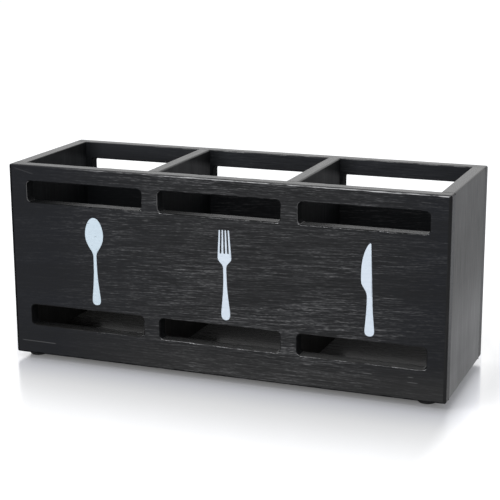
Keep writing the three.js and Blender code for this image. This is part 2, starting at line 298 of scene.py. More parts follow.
def floor_finish():
    material, tree = emptied(bpy.data.materials.new("gloss_white_board"))
    mirrored = reckon("MAXIMUM", distance_from_box(tree, mirror_stretch), 0.0)
    near = ranged(mirrored, -0.35 * shine_reach, shine_reach, 1.0, 0.0)
    near.node.interpolation_type = "SMOOTHSTEP"
    cut_off = past_corner_lines(tree)
    leap = ranged(cut_off, 0.0, 1.0 * MM, 0.0, line_leap)
    away = reckon("ADD", distance_from_box(tree, glow_stretch), product(cut_off, line_gain))
    tone = graded(reckon("ADD", away, leap), floor_tones)
    to_camera = add(tree, "ShaderNodeLightPath", output="Is Camera Ray")
    glow = add(tree, "ShaderNodeEmission", {"Color": tone, "Strength": to_camera})
    paper = add(tree, "ShaderNodeBsdfDiffuse", {"Color": (paper_white, paper_white, paper_white * 1.01)})
    mirror = add(tree, "ShaderNodeBsdfGlossy", {"Roughness": shine_roughness})
    coat = add(tree, "ShaderNodeMixShader", {0: product(near, shine), 1: paper, 2: mirror})
    lit = add(tree, "ShaderNodeAddShader", {0: coat, 1: glow})
    add(tree, "ShaderNodeOutputMaterial", {"Surface": lit})
    return material


floor_mesh.materials.append(floor_finish())
print("floor", reach * 2, "m wide, glow in", len(floor_glow), "steps")

# %% [markdown]
# Every finish below is a small network of nodes: where on the piece, which noise, how light, how rough, how
# deep. Patterns are read in Object coordinates, which are metres in the box's own frame, so the grain has
# the same size on every board.

# %% Helpers for finishes
askew = 0.056


def climbing(place):
    """The same place with another height. A pattern that is read there climbs to the right halfway up the
    box and runs level at its top and bottom, like the grain of a plank that was sawn a little askew."""
    across, inwards, upward = add(place, "ShaderNodeSeparateXYZ", {0: place}).node.outputs
    above = ranged(upward, 0.012, 0.05)
    below = ranged(upward, 0.1, 0.13, 1.0, 0.0)
    climb = product(across, product(above, below, askew))
    height = reckon("SUBTRACT", upward, climb)
    return add(place, "ShaderNodeCombineXYZ", {0: across, 1: inwards, 2: height})


def noise_at(place, detail=2.0, roughness=0.5, distortion=0.0):
    inputs = {"Vector": place, "Scale": 1.0, "Detail": detail, "Roughness": roughness}
    return add(place, "ShaderNodeTexNoise", {**inputs, "Distortion": distortion}, "Fac")


def grain_noise(tree, per_metre, *noise):
    """Noise with so many features per metre along X, Y and Z: few along the grain, many across it."""
    place = climbing(add(tree, "ShaderNodeTexCoord", output="Object"))
    place = add(tree, "ShaderNodeMapping", {"Vector": place, "Scale": per_metre})
    return noise_at(place, *noise)


def blended(share, under, over, blend="MIX"):
    """A colour between two others, each a socket or three numbers."""
    beside = share if is_socket(share) else under
    inputs = {0: share, 6: under, 7: over}
    return add(beside, "ShaderNodeMix", inputs, 2, data_type="RGBA", blend_type=blend)


def multiplied(colour, by):
    return blended(1.0, colour, by, "MULTIPLY")


def shaded(colour, roughness, gloss, height, strength, depth):
    """The one shader of a finish. A fine bump, in metres of depth, follows the height."""
    bump = {"Height": height, "Strength": strength, "Distance": depth}
    normal = add(colour, "ShaderNodeBump", bump, "Normal")
    coat = {"Base Color": colour, "Roughness": roughness, "Specular IOR Level": gloss, "Normal": normal}
    shader = add(colour, "ShaderNodeBsdfPrincipled", coat)
    add(colour, "ShaderNodeOutputMaterial", {"Surface": shader})


print("finish helpers ready")

# %% [markdown]
# The paint is a thin charcoal satin over wood whose soft grain was brushed out with wire. The furrows get
# painted shade and the ridges painted highlights. The arrises that look up are paler, partly worn paint and
# partly a painted highlight. The furrows themselves are cut into the mesh further on, so the finish adds
# only the finest hairlines, changes of tone, painted shade and highlights, and worn spots.

# %% Mix the charcoal paint
# Painted shade in the furrows
furrow_shade_tone = (0.0025, 0.0028, 0.0034)
# Painted highlight on the ridges
ridge_highlight_tone = (0.115, 0.115, 0.118)
# Painted sheen on the rims that look up
rim_sheen_tone = (0.048, 0.048, 0.048)
# Worn paint and a painted highlight on the arrises that look up
bare_and_highlight_tone = (0.52, 0.52, 0.525)


def arris_line(tree):
    """1 along the middle of a long arris that looks up: worn paint and a painted highlight."""
    across, _, upward = parts_of(tree, "Normal")
    begins = ranged(upward, 0.12, 0.26)
    ends = ranged(upward, 0.46, 0.62, 1.0, 0.0)
    level = ranged(reckon("ABSOLUTE", across), 0.15, 0.4, 1.0, 0.0)
    return product(begins, ends, level)


def lying_flat(tree):
    """1 on a surface that looks straight up, such as a rim, and 0 on an upright one."""
    return ranged(parts_of(tree, "Normal")[2], 0.86, 0.97)


def hard_brushed(tree):
    """The wire brush bit hardest in the middle of the long boards, and hardly at their ends and foot."""
    across, _, upward = parts_of(tree)
    left = ranged(across, -0.13, -0.02, 0.1, 1.0)
    right = ranged(across, 0.09, 0.15, 1.0, 0.35)
    return product(left, right, ranged(upward, 0.014, 0.034, 0.6, 1.0))


def charcoal_paint(name, along, ground, brushed, rubbed_and_highlit, satin, gloss):
    """along is 0, 1 or 2 for grain that runs in X, Y or Z. ground makes the paint's colour, with the painted
    light of its place. brushed is how strong the hairlines are, with their painted highlights and shade. The
    next is how pale the arrises that look up are, worn paint and a painted highlight, and satin the
    roughness of an upright face. The rims that look up get a paler painted sheen as well, more towards the
    right end of the box."""
    material, tree = emptied(bpy.data.materials.new("charcoal_paint_" + name))

    def along_grain(lengthwise, crosswise, *noise):
        scales = [crosswise] * 3
        scales[along] = lengthwise
        return grain_noise(tree, tuple(scales), *noise)

    hairs = along_grain(120, 2000, 2.0, 0.6)
    fibres = along_grain(42, 1400, 3.0, 0.62, 0.1)
    breaks = along_grain(330, 1300, 1.0, 0.5)
    boards = along_grain(9, 60, 2.0, 0.5)
    across = parts_of(tree)[0]
    flat = lying_flat(tree)
    force = product(hard_brushed(tree), brushed) if along == 0 else brushed
    # Painted highlights along the ridges and painted shade in the furrows
    light = reckon("ADD", ranged(hairs, 0.54, 0.74), ranged(fibres, 0.53, 0.72))
    patch = ranged(boards, 0.38, 0.62, 0.3, 1.0)
    light = product(light, patch, ranged(breaks, 0.36, 0.62, 0.25, 1.2), force)
    furrow = product(ranged(fibres, 0.52, 0.38), force)
    uneven = blended(ranged(boards, 0.3, 0.7), (0.78, 0.78, 0.78), (1.2, 1.2, 1.2))
    painted = multiplied(ground(tree), uneven)
    # Painted sheen: rims that look up are paler, more towards the right end
    painted = blended(product(flat, ranged(across, -0.15, 0.06)), painted, rim_sheen_tone)
    painted = blended(furrow, painted, furrow_shade_tone)
    painted = blended(light, painted, ridge_highlight_tone)
    specks = grain_noise(tree, (75, 330, 1100), 3.0, 0.7)
    # Worn paint and a painted highlight along the arrises that look up
    wear_and_highlight = product(arris_line(tree), ranged(specks, 0.42, 0.58, 0.05, 1.0))
    wear_and_highlight = product(wear_and_highlight, ranged(across, -0.12, -0.04), rubbed_and_highlit)
    colour = blended(wear_and_highlight, painted, bare_and_highlight_tone)
    rough = ranged(fibres, 0.3, 0.7, satin + 0.06, satin - 0.06)
    rough = reckon("ADD", rough, product(flat, min(0.0, 0.27 - satin)))
    calm = reckon("SUBTRACT", 1.0, product(flat, 0.6))
    height = product(reckon("ADD", hairs, product(fibres, 1.5)), calm)
    shaded(colour, rough, gloss, height, 0.35 * brushed, 0.12 * MM)
    return material


print("paint recipe ready")

# %% [markdown]
# One paint, but not one tone. On the long boards it is thinner and bluer towards the ends, and the front has
# a few old knocks that went through it. Inside the box the tones are painted light and shade: paler near the
# rim and the floor, darker deep down and in the corners, with a painted shadow along the top towards the
# back. The upper slots' ledges get a paler painted sheen towards the right, the lower slots' cut edges one
# even dark grey. The slots' ends and the upright corners are dull and nearly black, partly end grain that
# drank the paint and partly painted shade, but for a painted highlight along the mouths of the upper slots.

# %% Tone the paint for each place

# Each knock on the front: its ends in millimetres as X and Z, how wide it is, and how much paint it took
front_knocks = [
    (-153.5, 13.5, -127.0, 13.3, 0.45, 0.55), (-154.0, 139.8, -140.0, 136.5, 0.6, 0.18),
    (61.5, 20.3, 66.5, 20.3, 0.4, 0.9), (102.5, 19.0, 108.5, 19.0, 0.4, 0.7),
    (133.0, 16.3, 139.5, 16.3, 0.4, 0.7), (133.2, 19.9, 136.4, 19.9, 0.35, 0.7),
    (92.8, 87.7, 96.2, 87.7, 0.4, 0.9), (58.6, 95.3, 62.8, 95.4, 0.35, 0.8),
]

# Height on the end boards in millimetres, and the grey painted there as a reflection of the room: palest
# low down, where the satin mirrors the white floor, darkest above the middle
end_board_reflection_tones = [
    (5, 0.118), (18, 0.118), (26, 0.092), (45, 0.084), (60, 0.048), (76, 0.008), (88, 0.001), (107, 0.001),
    (120, 0.012), (130, 0.016), (143, 0.034),
]


def grey(level):
    """The paint's grey, a touch bluer than neutral."""
    return (level, level * 1.005, level * 1.03)


def knocked(tree):
    """1 where a knock took the paint off the front face."""
    across, inwards, upward = parts_of(tree)
    struck = 0.0
    for start_x, start_z, end_x, end_z, width, share in front_knocks:
        along = ranged(across, start_x * MM, end_x * MM, start_z * MM, end_z * MM)
        off = reckon("ABSOLUTE", reckon("SUBTRACT", upward, along))
        line = ranged(off, 0.3 * width * MM, width * MM, share, 0.0)
        begun = ranged(across, (start_x - 0.8) * MM, (start_x + 0.8) * MM)
        ended = ranged(across, (end_x - 0.8) * MM, (end_x + 0.8) * MM, 1.0, 0.0)
        struck = reckon("MAXIMUM", struck, product(line, begun, ended))
    return product(struck, ranged(inwards, -0.05, -0.045, 1.0, 0.0))


def long_board_ground(tree):
    across, _, upward = parts_of(tree)
    left = ranged(across, -0.125, -0.015)
    middle = product(left, ranged(across, 0.08, 0.15, 1.0, 0.0))
    tone = blended(middle, (0.0008, 0.0016, 0.0042), (0.0095, 0.0098, 0.0112))
    foot = product(ranged(upward, 0.014, 0.03, 1.0, 0.0), left)
    tone = blended(foot, tone, (0.0155, 0.0155, 0.0160))
    return blended(knocked(tree), tone, (0.12, 0.12, 0.123))


def inside_long_painted_light(tree):
    across, _, upward = parts_of(tree)
    # Painted light and shade: paler near the rim and the floor, darker deep down and near the corners
    near_rim = ranged(upward, 0.112, 0.134)
    near_floor = ranged(upward, 0.035, 0.06, 1.0, 0.0)
    deep = blended(near_floor, (0.0030, 0.0036, 0.0046), (0.027, 0.0265, 0.0265))
    for board in ("left_end_panel", "left_divider", "right_divider"):
        from_corner = reckon("ABSOLUTE", reckon("SUBTRACT", across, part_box(board)[1].x))
        near_rim = product(near_rim, ranged(from_corner, 0.003, 0.014, 0.25, 1.0))
    return blended(near_rim, deep, (0.0255, 0.0270, 0.0310))


def inside_cross_painted_light(tree):
    across, inwards, upward = parts_of(tree)
    # Painted light and shade: paler high up and near the floor, paler on the dividers than the left end
    slant = reckon("ADD", upward, product(inwards, 0.25))
    near_floor = ranged(upward, 0.035, 0.06, 1.0, 0.0)
    deep = blended(near_floor, (0.0012, 0.0017, 0.0025), (0.013, 0.0125, 0.012))
    on_divider = ranged(across, -0.12, -0.08)
    high = blended(on_divider, (0.0160, 0.0170, 0.0190), (0.041, 0.041, 0.043))
    # Painted shadow along the top, towards the back
    high = blended(ranged(slant, 0.140, 0.1445), high, (0.0040, 0.0045, 0.0055))
    return blended(ranged(slant, 0.119, 0.129), deep, high)


def floor_board_painted_light(tree):
    across, inwards, _ = parts_of(tree)
    # Painted light and shade: dark at the front, paler towards the back, and a paler patch at the back left
    back = ranged(inwards, 0.003, 0.014)
    tone = blended(back, (0.0035, 0.0034, 0.0033), (0.0125, 0.0122, 0.0120))
    far_left = product(ranged(across, -0.06, -0.03, 1.0, 0.0), ranged(inwards, 0.01, 0.026))
    tone = blended(far_left, tone, (0.026, 0.026, 0.025))
    grit = grain_noise(tree, (30, 260, 260))
    return multiplied(tone, blended(grit, (0.8, 0.8, 0.8), (1.2, 1.2, 1.2)))


def end_board_painted_reflection(tree):
    table = [(height, grey(level)) for height, level in end_board_reflection_tones]
    return graded(parts_of(tree)[2], table)


def divider_ground(tree):
    on_right = ranged(parts_of(tree)[0], -0.02, 0.02)
    return blended(on_right, (0.0080, 0.0085, 0.0090), (0.030, 0.030, 0.030))


def gritty(tree, dark, light, upright=700.0):
    """The sanded look of a cut surface."""
    return blended(grain_noise(tree, (700.0, 700.0, upright)), dark, light)


def cut_edge_grit_and_painted_light(tree):
    across, _, upward = parts_of(tree)
    tone = gritty(tree, (0.0022, 0.0024, 0.0030), (0.0040, 0.0042, 0.0048))
    # Painted sheen: the upper ledges grow paler towards the right; the lower slots get one even dark grey
    tone = blended(ranged(across, -0.06, -0.02), tone, grey(0.018))
    tone = blended(ranged(across, 0.045, 0.062), tone, grey(0.066))
    return blended(ranged(upward, 0.05, 0.1), grey(0.0065), tone)


def end_grain_and_painted_shade(tree):
    # End grain that drank the paint, with painted shade; past the right corner a paler painted reflection
    past_corner = ranged(parts_of(tree)[0], 0.1535, 0.155)
    tone = gritty(tree, (0.0040, 0.0043, 0.0048), (0.0072, 0.0076, 0.0082))
    return blended(past_corner, tone, grey(0.0175))


def mouth_painted_highlight(tree):
    # Painted highlight where the arris at the mouths of the upper slots catches the light
    return gritty(tree, (0.05, 0.05, 0.052), (0.14, 0.14, 0.142), 300.0)


# The axis of each paint's grain, its ground with any painted light, and how brushed it is, how pale its
# arrises are with worn paint and a painted highlight, and how matt and glossy it is
paint_recipes = {
    "long_grain": (0, long_board_ground, 1.0, 1.0, 0.42, 0.235),
    "end_boards": (2, end_board_painted_reflection, 0.12, 0.4, 0.4, 0.225),
    "dividers": (1, divider_ground, 0.12, 0.4, 0.3, 0.25),
    "inside_long": (0, inside_long_painted_light, 0.3, 0.2, 0.75, 0.15),
    "inside_cross": (2, inside_cross_painted_light, 0.1, 0.2, 0.75, 0.12),
    "floor_board": (0, floor_board_painted_light, 0.06, 0.0, 0.75, 0.10),
    "cut_edges": (0, cut_edge_grit_and_painted_light, 0.1, 0.16, 0.5, 0.11),
    "end_grain": (2, end_grain_and_painted_shade, 0.1, 0.0, 0.8, 0.04),
    "worn_mouths": (2, mouth_painted_highlight, 0.1, 0.0, 0.6, 0.15),
}
charcoal = {name: charcoal_paint(name, *recipe) for name, recipe in paint_recipes.items()}
print("charcoal paints:", list(charcoal))

# %% [markdown]
# The spoon, fork and knife are stencilled in a cool white ink. Ink sits on the ridges and skips a few of the
# furrows, so it isn't a flat white: it has a faint long grain and small dark flecks. The spoon got the least
# ink, so it is the greyest of the three.

# %% Mix the pale ink, the rubber and the bare beech


def pale_ink():
    material, tree = emptied(bpy.data.materials.new("pale_ink_on_grain"))
    fibres = grain_noise(tree, (70, 400, 900), 3.0, 0.6)
    skips = grain_noise(tree, (160, 500, 1300), 2.0, 0.6)
    tone = blended(fibres, (0.64, 0.72, 0.79), (0.80, 0.87, 0.93))
    past_spoon = ranged(parts_of(tree)[0], -0.06, -0.03)
    inked = multiplied(tone, blended(past_spoon, (0.865, 0.92, 0.95), (0.955, 0.965, 1.0)))
    colour = blended(ranged(skips, 0.66, 0.74), inked, (0.25, 0.29, 0.33))
    rough = ranged(fibres, 0.3, 0.7, 0.6, 0.45)
    shaded(colour, rough, 0.3, fibres, 0.3, 0.1 * MM)
    return material


def black_rubber():
    material, tree = emptied(bpy.data.materials.new("black_rubber_moulded"))
    grit = grain_noise(tree, (2600, 2600, 2600))
    dust = grain_noise(tree, (240, 240, 240), 4.0, 0.6)
    colour = blended(ranged(dust, 0.4, 0.75), (0.011, 0.011, 0.012), (0.03, 0.03, 0.03))
    rough = ranged(dust, 0.3, 0.7, 0.62, 0.8)
    shaded(colour, rough, 0.3, grit, 0.3, 0.06 * MM)
    return material


def bare_beech():
    material, tree = emptied(bpy.data.materials.new("bare_beech_turned"))
    fibres = grain_noise(tree, (900, 60, 900), 3.0, 0.6)
    rays = grain_noise(tree, (1600, 500, 1600), 1.0, 0.5)
    wood = blended(fibres, (0.45, 0.27, 0.14), (0.64, 0.44, 0.26))
    colour = blended(ranged(rays, 0.62, 0.7), wood, (0.30, 0.16, 0.08))
    rough = ranged(fibres, 0.3, 0.7, 0.75, 0.6)
    shaded(colour, rough, 0.5, fibres, 0.4, 0.1 * MM)
    return material


ink = pale_ink()
rubber = black_rubber()
beech = bare_beech()
print("finishes:", ink.name, rubber.name, beech.name)

# %% [markdown]
# Wire brushing cuts long shallow furrows of a tenth of a millimetre into the faces. A bump could fake them,
# but real furrows catch the light along the slot edges and the rim as well. So each board starts as a sawn
# blank: a box whose skin is a fine net, close across the grain and wide along it. Sanded arrises are rounded
# in the net, and faces that meet another board run on past it, to be cut off later.

# %% Saw the blanks
arris_round = 1.35 * MM
inner_rim_round = 0.65 * MM
joint_overrun = 2.0 * MM


def read_all(items, field, width=1, kind=np.float32):
    """One number, or one row of numbers, for each item of a mesh."""
    values = np.zeros(len(items) * width, kind)
    items.foreach_get(field, values)
    return values.reshape(-1, width) if width > 1 else values


def mesh_volume(mesh):
    """The volume inside a closed mesh, negative if its faces point inwards."""
    mesh.calc_loop_triangles()
    corners = read_all(mesh.loop_triangles, "vertices", 3, np.int32)
    tri = read_all(mesh.vertices, "co", 3)[corners].astype(float)
    return float(np.einsum("ij,ij->i", tri[:, 0], np.cross(tri[:, 1], tri[:, 2])).sum() / 6)


def closed_object(name, points, faces, **attributes):
    """An object whose faces look outwards. Each attribute has a value for every point."""
    mesh = bpy.data.meshes.new(name)
    mesh.from_pydata(points, [], faces)
    for attribute, values in attributes.items():
        data = mesh.attributes.new(attribute, "FLOAT", "POINT").data
        data.foreach_set("value", np.array(values, np.float32))
    if mesh_volume(mesh) < 0:
        mesh.flip_normals()
    return placed(name, mesh)


def tube_faces(rings, count, first_corner=0):
    """Quads between rings of so many points, and one face over either end."""
    order = np.arange(count)
    following = np.roll(order, -1)
    faces = []
    for here in range(0, (rings - 1) * count, count):
        there = here + count
        quads = np.stack([here + order, there + order, there + following, here + following], axis=1)
        faces += np.roll(quads, first_corner, axis=1).tolist()
    return faces + [list(range(count)), list(range((rings - 1) * count, rings * count))[::-1]]


def net_lines(low, high, pitch, round_low=0.0, round_high=0.0):
    """Places of the net's lines between two edges. They lie closer where an edge is rounded."""
    turn_shares = np.array([0.0, 0.26, 0.52, 0.78])
    inner_low = low + round_low
    inner_high = high - round_high
    count = max(2, round((inner_high - inner_low) / pitch) + 1)
    lines = [np.linspace(inner_low, inner_high, count)]
    if round_low:
        lines.insert(0, low + round_low * turn_shares)
    if round_high:
        lines.append(high - round_high * turn_shares[::-1])
    return np.concatenate(lines)


def ease_amount(distance):
    """How far a sanded arris falls back from a face, at a distance from the face's edge."""
    held = np.clip(distance, 0.0, arris_round)
    fall = arris_round - np.sqrt(arris_round**2 - (arris_round - held) ** 2)
    return fall + np.clip(-distance, 0.0, None)


def sawn_blank(node, run, outer_side, rounded, pitches, open_sides, ends_at=None):
    """A closed box round a CAD board, with a net for its skin. run is the axis along the grain, 0 or 1.
    outer_side is -1 or 1, the side of the thickness axis that shows outside. rounded gives the radius of
    each rounded corner of the section. pitches are the net's steps: along, across the outer face, across
    the inner face, across the edges. open_sides are the faces, as (axis, side), that run past the board.
    ends_at is the distance of rounded board ends from the middle, where the board has them."""
    low, high = (list(corner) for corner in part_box(node))
    for axis, side in open_sides:
        (low if side < 0 else high)[axis] += side * joint_overrun
    thick = 1 - run
    outer = low[thick] if outer_side < 0 else high[thick]
    width = high[thick] - low[thick]
    bottom, top = low[2], high[2]
    height = top - bottom
    along, step_outer, step_inner, step_edge = (pitch * MM for pitch in pitches)
    outer_top, inner_top, outer_bottom = (
        rounded.get(corner, 0.0) for corner in ("outer_top", "inner_top", "outer_bottom")
    )
    ring = [(0.0, z - bottom) for z in net_lines(bottom, top, step_outer, outer_bottom, outer_top)[:-1]]
    ring += [(t, height) for t in net_lines(0.0, width, step_edge, outer_top, inner_top)[:-1]]
    ring += [(width, z - bottom) for z in net_lines(bottom, top, step_inner, 0.0, inner_top)[:0:-1]]
    ring += [(t, 0.0) for t in net_lines(0.0, width, step_edge, outer_bottom)[:0:-1]]
    ring = np.array(ring)
    arris = np.zeros(len(ring))
    corners = {"outer_bottom": (0.0, 0.0), "outer_top": (0.0, height), "inner_top": (width, height)}
    for corner, radius in rounded.items():
        edge = np.array(corners[corner])
        near = (np.abs(ring - edge) < radius).all(axis=1)
        centre = edge + np.where(edge == 0.0, radius, -radius)
        spoke = ring[near] - centre
        ring[near] = centre + spoke / np.linalg.norm(spoke, axis=1)[:, None] * radius
        arris[near] = 1.0
    ahead = np.roll(ring, -1, axis=0) - np.roll(ring, 1, axis=0)
    normal = np.stack([-ahead[:, 1], ahead[:, 0]], axis=1)
    normal /= np.linalg.norm(normal, axis=1)[:, None]
    stations = net_lines(low[run], high[run], along)
    eased = np.zeros(len(stations))
    if ends_at:
        close = ends_at - arris_round * np.array([0.0, 0.12, 0.3, 0.55, 0.8, 1.0, 1.5])
        inside = stations[np.abs(stations) < ends_at - 1.5 * arris_round - 0.3 * along]
        stations = np.sort(np.concatenate([[low[run], high[run]], close, -close, inside]))
        eased = ease_amount(ends_at - np.abs(stations))
    shown = np.clip(1.0 - 1.4 * np.maximum(normal[:, :1], 0.0), 0.0, 1.0)
    section = ring - eased[:, None, None] * (normal * shown)
    points = np.zeros((len(stations), len(ring), 3))
    points[:, :, run] = stations[:, None]
    points[:, :, thick] = outer - outer_side * section[:, :, 0]
    points[:, :, 2] = bottom + section[:, :, 1]
    skin = tube_faces(len(stations), len(ring))
    arris = np.tile(arris, len(stations))
    return closed_object(node + "_blank", points.reshape(-1, 3).tolist(), skin, arris=arris)


rim_and_foot = {"outer_top": arris_round, "inner_top": inner_rim_round, "outer_bottom": arris_round}
both_ends_x = ((0, -1), (0, 1))
both_ends_y = ((1, -1), (1, 1))
front_pitches = (3.0, 0.46, 1.3, 0.7)
front_blank = sawn_blank("front_panel", 0, -1, rim_and_foot, front_pitches, both_ends_x, half_length)
print("front blank", len(front_blank.data.polygons), "faces, volume", mesh_volume(front_blank.data) * 1e9)

# %% [markdown]
# One Geometry Nodes tree does the brushing for every board. It moves each point of the blank inwards by two
# noises, a long figure that says how hard the wire bit and short fibres that it tore out, and chips the
# arrises a little more. Then it keeps only what lies inside the CAD solid, which cuts the joints, the rabbet
# and the dowel holes, and takes out the routed slots. Noise read at a point's own place stays the same when
# the script runs again.

# %% Build the brushing tree


def geometry_tree(name, kinds):
    """A tree with one geometry output, and its inputs, each of its own kind and at first zero or empty."""
    tree = bpy.data.node_groups.new(name, "GeometryNodeTree")
    tree.interface.new_socket(name="Geometry", in_out="OUTPUT", socket_type="NodeSocketGeometry")
    for label, kind in kinds.items():
        tree.interface.new_socket(name=label, in_out="INPUT", socket_type="NodeSocket" + kind)
    return tree, tree.nodes.new("NodeGroupInput").outputs


def place_noise(tree, per_metre, *noise):
    """Noise at a point's own place, with so many features per metre along each axis."""
    place = climbing(add(tree, "GeometryNodeInputPosition"))
    place = add(tree, "ShaderNodeVectorMath", {0: place, 1: per_metre}, operation="MULTIPLY")
    return noise_at(place, *noise)


def chipped(tree, per_metre, low, high, depth):
    """How deep the arrises are chipped. The attribute arris is 1 on them."""
    spots = ranged(place_noise(tree, per_metre, 2.0, 0.6), low, high)
    name = {"Name": "arris"}
    arris = add(tree, "GeometryNodeInputNamedAttribute", name, "Attribute", data_type="FLOAT")
    return product(spots, arris, depth)


def pushed(geometry, distance):
    """Moves every point along its normal."""
    facing = add(geometry, "GeometryNodeInputNormal")
    offset = add(geometry, "ShaderNodeVectorMath", {0: facing, "Scale": distance}, operation="SCALE")
    return add(geometry, "GeometryNodeSetPosition", {"Geometry": geometry, "Offset": offset})


def object_shape(given):
    return add(given, "GeometryNodeObjectInfo", {"Object": given}, "Geometry")


def handed_over(geometry, finish):
    """Gives the geometry its finish and sends it out of the tree."""
    painted = add(geometry, "GeometryNodeSetMaterial", {"Geometry": geometry, "Material": finish})
    add(geometry, "NodeGroupOutput", {0: painted})


def brushing_tree():
    skin = 0.015 * MM
    weld = 0.001 * MM
    tree, given = geometry_tree("brushed_board", {
        "Blank": "Geometry", "Board": "Object", "Cutters": "Object", "Routed": "Bool",
        "Fibres per metre": "Vector", "Figure per metre": "Vector", "Furrow depth": "Float",
        "Chip depth": "Float", "Lift": "Float", "Finish": "Material",
    })
    fibres = ranged(place_noise(tree, given["Fibres per metre"], 2.0, 0.55), 0.42, 0.68)
    bite = ranged(place_noise(tree, given["Figure per metre"], 2.0, 0.5), 0.35, 0.62, 0.2, 1.0)
    across = add(tree, "ShaderNodeSeparateXYZ", {0: add(tree, "GeometryNodeInputPosition")})
    bite = product(bite, ranged(across, -0.13, -0.03, 0.35, 1.0))
    furrow = product(fibres, bite, given["Furrow depth"])
    chips = chipped(tree, (260.0, 260.0, 420.0), 0.5, 0.72, given["Chip depth"])
    depth = reckon("ADD", reckon("ADD", furrow, chips), skin)
    brushed = pushed(given["Blank"], reckon("SUBTRACT", given["Lift"], depth))
    solid = {"Geometry": object_shape(given["Board"]), "Distance": weld}
    both = {"Mesh 2": [brushed, add(tree, "GeometryNodeMergeByDistance", solid)]}
    kept = add(tree, "GeometryNodeMeshBoolean", both, operation="INTERSECT", solver="MANIFOLD")
    cut = {"Mesh 1": kept, "Mesh 2": object_shape(given["Cutters"])}
    routed = add(tree, "GeometryNodeMeshBoolean", cut, operation="DIFFERENCE", solver="MANIFOLD")
    ways = {"Switch": given["Routed"], "False": kept, "True": routed}
    choice = add(tree, "GeometryNodeSwitch", ways, input_type="GEOMETRY")
    real = add(tree, "GeometryNodeRealizeInstances", {0: choice})
    handed_over(real, given["Finish"])
    return tree


brushing = brushing_tree()


def made_by_nodes(start, tree, settings, name):
    """Runs a tree on an object and returns what it makes as a new, plain object."""
    modifier = start.modifiers.new("maker", "NODES")
    modifier.node_group = tree
    for item in tree.interface.items_tree:
        if item.in_out == "INPUT" and item.name in settings:
            modifier[item.identifier] = settings[item.name]
    start.update_tag()
    bpy.context.view_layer.update()
    depsgraph = bpy.context.evaluated_depsgraph_get()
    mesh = bpy.data.meshes.new_from_object(start.evaluated_get(depsgraph), depsgraph=depsgraph)
    mesh.name = name
    start.modifiers.remove(modifier)
    finish = settings.get("Finish")
    if finish:
        mesh.materials.clear()
        mesh.materials.append(finish)
        mesh.polygons.foreach_set("material_index", np.zeros(len(mesh.polygons), np.int32))
    return placed(name, mesh)


def discard(*helpers):
    for helper in helpers:
        bpy.data.objects.remove(helper)


print("brushing tree with", len(brushing.nodes), "nodes")

# %% [markdown]
# Each slot is routed right through its board, and the router's rounding bit leaves an eased arris on both
# faces. A bevel on the cut board would follow every furrow that it crosses, so the cutter itself has the
# soft edge. It is lofted ring by ring: straight in the middle and flared at both ends.

# %% Make the slot cutter
slot_width = 88.6 * MM
slot_height = 14.9 * MM
slot_pitch = 100.75 * MM
slot_corner = 3.0 * MM
slot_play = 0.03 * MM
slot_arris = 0.6 * MM
cutter_step = 1.4 * MM
cutter_overrun = 1.0 * MM
lower_slot_middle = 33.55 * MM
upper_slot_middle = 123.65 * MM
board_thickness = 9.25 * MM
back_slot_drops = (1.0 * MM, 0.7 * MM, 0.2 * MM)


def slot_outline(grow):
    """The slot's outline round its middle, grown outwards by so much. The point count never changes."""
    half_x = slot_width / 2 - slot_corner
    half_z = slot_height / 2 - slot_corner
    radius = slot_corner + slot_play + grow
    across = np.linspace(-half_x, half_x, round(2 * half_x / cutter_step))
    up = np.linspace(-half_z, half_z, round(2 * half_z / cutter_step))
    corner = np.radians(np.linspace(0, 90, 8)[1:-1])
    half = [(x, -half_z - radius) for x in across]
    half += [(half_x + radius * math.sin(a), -half_z - radius * math.cos(a)) for a in corner]
    half += [(half_x + radius, z) for z in up]
    half += [(half_x + radius * math.cos(a), half_z + radius * math.sin(a)) for a in corner]
    return np.concatenate([half, -np.array(half)])


def slot_cutter():
    """Rings from the outer face to the inner one, each as depth, growth and whether it is an arris."""
    half = board_thickness / 2
    front = [(-half - cutter_overrun, slot_arris + cutter_overrun, 0.0)]
    for bend in np.radians(np.linspace(0, 90, 6)[:-1]):
        front.append((slot_arris * (1 - math.cos(bend)) - half, slot_arris * (1 - math.sin(bend)), 1.0))
    straight = [(y, 0.0, 0.0) for y in np.linspace(slot_arris - half, half - slot_arris, 8)]
    rings = front + straight + [(-y, grow, worn) for y, grow, worn in reversed(front)]
    points = [(x, y, z) for y, grow, _ in rings for x, z in slot_outline(grow)]
    count = len(points) // len(rings)
    arris = np.repeat([worn for _, _, worn in rings], count)
    faces = tube_faces(len(rings), count, 1)
    return closed_object("slot_cutter", points, faces, arris=arris, routed=np.ones(len(points)))


cutter = slot_cutter()
print("slot cutter", len(cutter.data.polygons), "faces")

# %% [markdown]
# Instances are how Geometry Nodes repeat a piece: a few points say where, one object says what. The same
# small tree sets out the slots, the bumpers and the dowel pins. Instances are lost in an export, so the tree
# realizes them. Then it roughens the slots a little, so that no two have the same worn edge, and gives each
# copy its finish.

# %% Build the setting-out tree


def setting_out_tree():
    tree, given = geometry_tree("set_out_copies", {
        "Places": "Geometry", "Piece": "Object", "Turn": "Vector", "Grain depth": "Float",
        "Chip depth": "Float", "Finish": "Material",
    })
    what = {"Instance": object_shape(given["Piece"]), "Rotation": given["Turn"]}
    copies = add(tree, "GeometryNodeInstanceOnPoints", {"Points": given["Places"], **what})
    real = add(tree, "GeometryNodeRealizeInstances", {0: copies})
    fibres = ranged(place_noise(tree, (60.0, 900.0, 900.0), 2.0, 0.55), 0.35, 0.7)
    grain = product(fibres, given["Grain depth"])
    chips = chipped(tree, (180.0, 500.0, 500.0), 0.45, 0.7, given["Chip depth"])
    rough = pushed(real, reckon("ADD", grain, chips))
    handed_over(rough, given["Finish"])
    return tree


setting_out = setting_out_tree()


